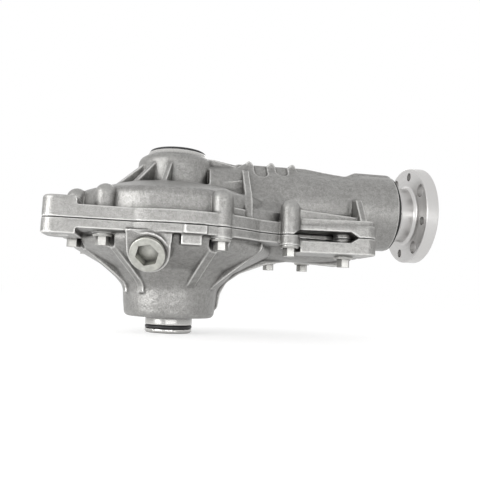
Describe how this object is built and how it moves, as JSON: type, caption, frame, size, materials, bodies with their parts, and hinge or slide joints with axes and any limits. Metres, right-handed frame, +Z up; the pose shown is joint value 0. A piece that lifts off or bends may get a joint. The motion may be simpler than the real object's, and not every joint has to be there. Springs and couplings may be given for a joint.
{
  "type": "front differential",
  "caption": "Cast front axle differential with a side cover, bevel final drive, open differential gears, input flange and an output spigot.",
  "frame": {"origin": "centre of the shoulder face that the lower output spigot stands out of", "axes": "+Z up the axle axis from the spigot to the upper output, +X along the pinion towards the input flange"},
  "size_m": [0.3651, 0.2151, 0.1802],
  "materials": {
    "cast_housing": "raw sand-cast, satin",
    "machined_steel": "turned, satin",
    "plated_steel": "zinc plated, satin",
    "soft_aluminium": "satin",
    "black_rubber": "matt",
    "bearing_steel": "ground",
    "stamped_steel": "phosphated",
    "nodular_iron": "cast and machined",
    "thrust_bronze": "satin"
  },
  "bodies": {
    "housing": {"upper_housing": "cast_housing", "lower_cover": "cast_housing", "cover_screws": "plated_steel", "cover_dowels": "plated_steel", "filler_plug": "plated_steel", "filler_plug_washer": "soft_aluminium", "spigot_o_ring": "black_rubber", "upper_output_seal": "black_rubber", "lower_output_seal": "black_rubber", "pinion_seal": "black_rubber", "upper_bearing_cup": "bearing_steel", "lower_bearing_cup": "bearing_steel", "head_bearing_cup": "bearing_steel", "tail_bearing_cup": "bearing_steel", "upper_bearing_shim": "bearing_steel", "lower_bearing_shim": "bearing_steel", "pinion_shim": "bearing_steel"},
    "carrier": {"carrier_case": "nodular_iron", "ring_gear": "machined_steel", "ring_gear_screws": "plated_steel", "cross_pin": "machined_steel", "cross_pin_lock": "plated_steel", "upper_thrust_washer": "thrust_bronze", "lower_thrust_washer": "thrust_bronze", "upper_bearing_cone": "bearing_steel", "lower_bearing_cone": "bearing_steel"},
    "pinion": {"drive_pinion": "machined_steel", "input_flange": "machined_steel", "pinion_nut": "machined_steel", "spacer_sleeve": "machined_steel", "dust_ring": "machined_steel", "head_bearing_cone": "bearing_steel", "tail_bearing_cone": "bearing_steel"},
    "upper_output": {"upper_side_gear": "machined_steel"},
    "lower_output": {"lower_side_gear": "machined_steel"},
    "front_spider": {"spider_gear_front": "machined_steel", "spider_washer_front": "thrust_bronze"},
    "rear_spider": {"spider_gear_rear": "machined_steel", "spider_washer_rear": "thrust_bronze"},
    "upper_bearing_set": {"upper_bearing_rollers": "bearing_steel", "upper_bearing_cage": "stamped_steel"},
    "lower_bearing_set": {"lower_bearing_rollers": "bearing_steel", "lower_bearing_cage": "stamped_steel"},
    "head_bearing_set": {"head_bearing_rollers": "bearing_steel", "head_bearing_cage": "stamped_steel"},
    "tail_bearing_set": {"tail_bearing_rollers": "bearing_steel", "tail_bearing_cage": "stamped_steel"}
  },
  "joints": [
    {"name": "carrier_turn", "type": "hinge", "parent": "housing", "child": "carrier", "pos_m": [0, 0, 0.088], "axis": [0, 0, 1], "continuous": true},
    {"name": "pinion_turn", "type": "hinge", "parent": "housing", "child": "pinion", "pos_m": [0.15, 0, 0.115], "axis": [1, 0, 0], "continuous": true},
    {"name": "upper_output_turn", "type": "hinge", "parent": "carrier", "child": "upper_output", "pos_m": [0, 0, 0.088], "axis": [0, 0, 1], "continuous": true},
    {"name": "lower_output_turn", "type": "hinge", "parent": "carrier", "child": "lower_output", "pos_m": [0, 0, 0.088], "axis": [0, 0, 1], "continuous": true},
    {"name": "front_spider_turn", "type": "hinge", "parent": "carrier", "child": "front_spider", "pos_m": [0, 0, 0.088], "axis": [1, 0, 0], "continuous": true},
    {"name": "rear_spider_turn", "type": "hinge", "parent": "carrier", "child": "rear_spider", "pos_m": [0, 0, 0.088], "axis": [1, 0, 0], "continuous": true},
    {"name": "upper_rollers_turn", "type": "hinge", "parent": "housing", "child": "upper_bearing_set", "pos_m": [0, 0, 0.145], "axis": [0, 0, 1], "continuous": true},
    {"name": "lower_rollers_turn", "type": "hinge", "parent": "housing", "child": "lower_bearing_set", "pos_m": [0, 0, 0.026], "axis": [0, 0, 1], "continuous": true},
    {"name": "head_rollers_turn", "type": "hinge", "parent": "housing", "child": "head_bearing_set", "pos_m": [0.102, 0, 0.115], "axis": [1, 0, 0], "continuous": true},
    {"name": "tail_rollers_turn", "type": "hinge", "parent": "housing", "child": "tail_bearing_set", "pos_m": [0.175, 0, 0.115], "axis": [1, 0, 0], "continuous": true}
  ],
  "couplings": [
    {"joint": "pinion_turn", "follows": "carrier_turn", "ratio": 3.3077},
    {"joint": "upper_rollers_turn", "follows": "carrier_turn", "ratio": 0.42526},
    {"joint": "lower_rollers_turn", "follows": "carrier_turn", "ratio": 0.41832},
    {"joint": "head_rollers_turn", "follows": "carrier_turn", "ratio": 1.3938},
    {"joint": "tail_rollers_turn", "follows": "carrier_turn", "ratio": 1.3706},
    {"joint": "lower_output_turn", "follows": "upper_output_turn", "ratio": -1},
    {"joint": "front_spider_turn", "follows": "upper_output_turn", "ratio": -1.6},
    {"joint": "rear_spider_turn", "follows": "upper_output_turn", "ratio": 1.6}
  ]
}
